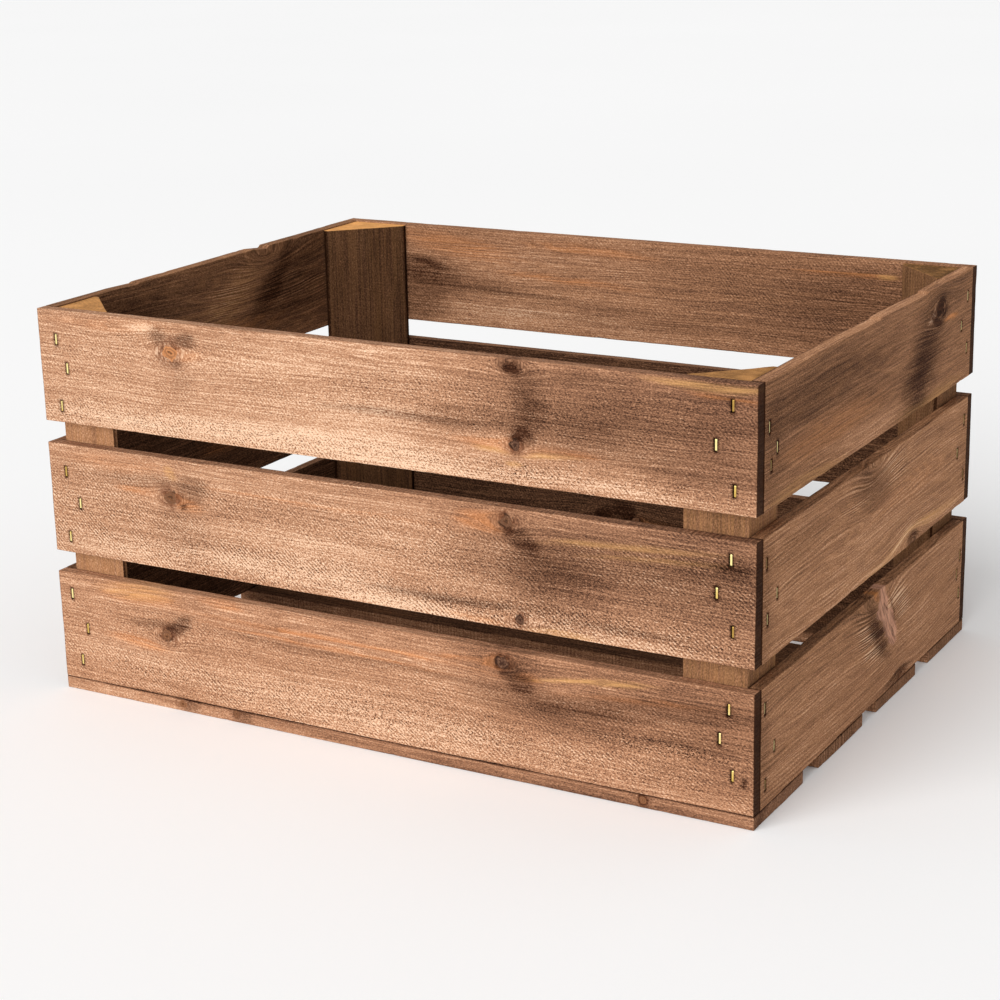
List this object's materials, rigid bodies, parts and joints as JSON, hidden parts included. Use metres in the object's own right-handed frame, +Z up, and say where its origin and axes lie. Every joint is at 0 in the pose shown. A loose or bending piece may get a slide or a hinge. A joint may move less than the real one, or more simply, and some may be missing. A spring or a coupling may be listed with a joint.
{
  "type": "wooden apple crate",
  "caption": "Open rectangular crate of sawn wooden slats in spaced rows, stapled to triangular corner posts, with a slatted bottom.",
  "frame": {"origin": "middle of the underside, on the floor", "axes": "+X along the crate's length, +Z up out of the open top, front towards -Y"},
  "size_m": [0.5, 0.37, 0.26],
  "materials": {
    "slat_wood": "rough sawn, brown stain",
    "post_wood": "rough sawn, brown stain",
    "staple_wire": "gold lacquered steel wire"
  },
  "bodies": {
    "root": {"front_slat_bottom": "slat_wood", "front_slat_middle": "slat_wood", "front_slat_top": "slat_wood", "right_slat_bottom": "slat_wood", "right_slat_middle": "slat_wood", "right_slat_top": "slat_wood", "back_slat_bottom": "slat_wood", "back_slat_middle": "slat_wood", "back_slat_top": "slat_wood", "left_slat_bottom": "slat_wood", "left_slat_middle": "slat_wood", "left_slat_top": "slat_wood", "bottom_slat_front": "slat_wood", "bottom_slat_mid_front": "slat_wood", "bottom_slat_mid_back": "slat_wood", "bottom_slat_back": "slat_wood", "post_front_left": "post_wood", "post_front_right": "post_wood", "post_back_right": "post_wood", "post_back_left": "post_wood", "front_slat_bottom_staples": "staple_wire", "front_slat_middle_staples": "staple_wire", "front_slat_top_staples": "staple_wire", "right_slat_bottom_staples": "staple_wire", "right_slat_middle_staples": "staple_wire", "right_slat_top_staples": "staple_wire", "back_slat_bottom_staples": "staple_wire", "back_slat_middle_staples": "staple_wire", "back_slat_top_staples": "staple_wire", "left_slat_bottom_staples": "staple_wire", "left_slat_middle_staples": "staple_wire", "left_slat_top_staples": "staple_wire", "bottom_slat_front_staples": "staple_wire", "bottom_slat_mid_front_staples": "staple_wire", "bottom_slat_mid_back_staples": "staple_wire", "bottom_slat_back_staples": "staple_wire"}
  },
  "joints": []
}
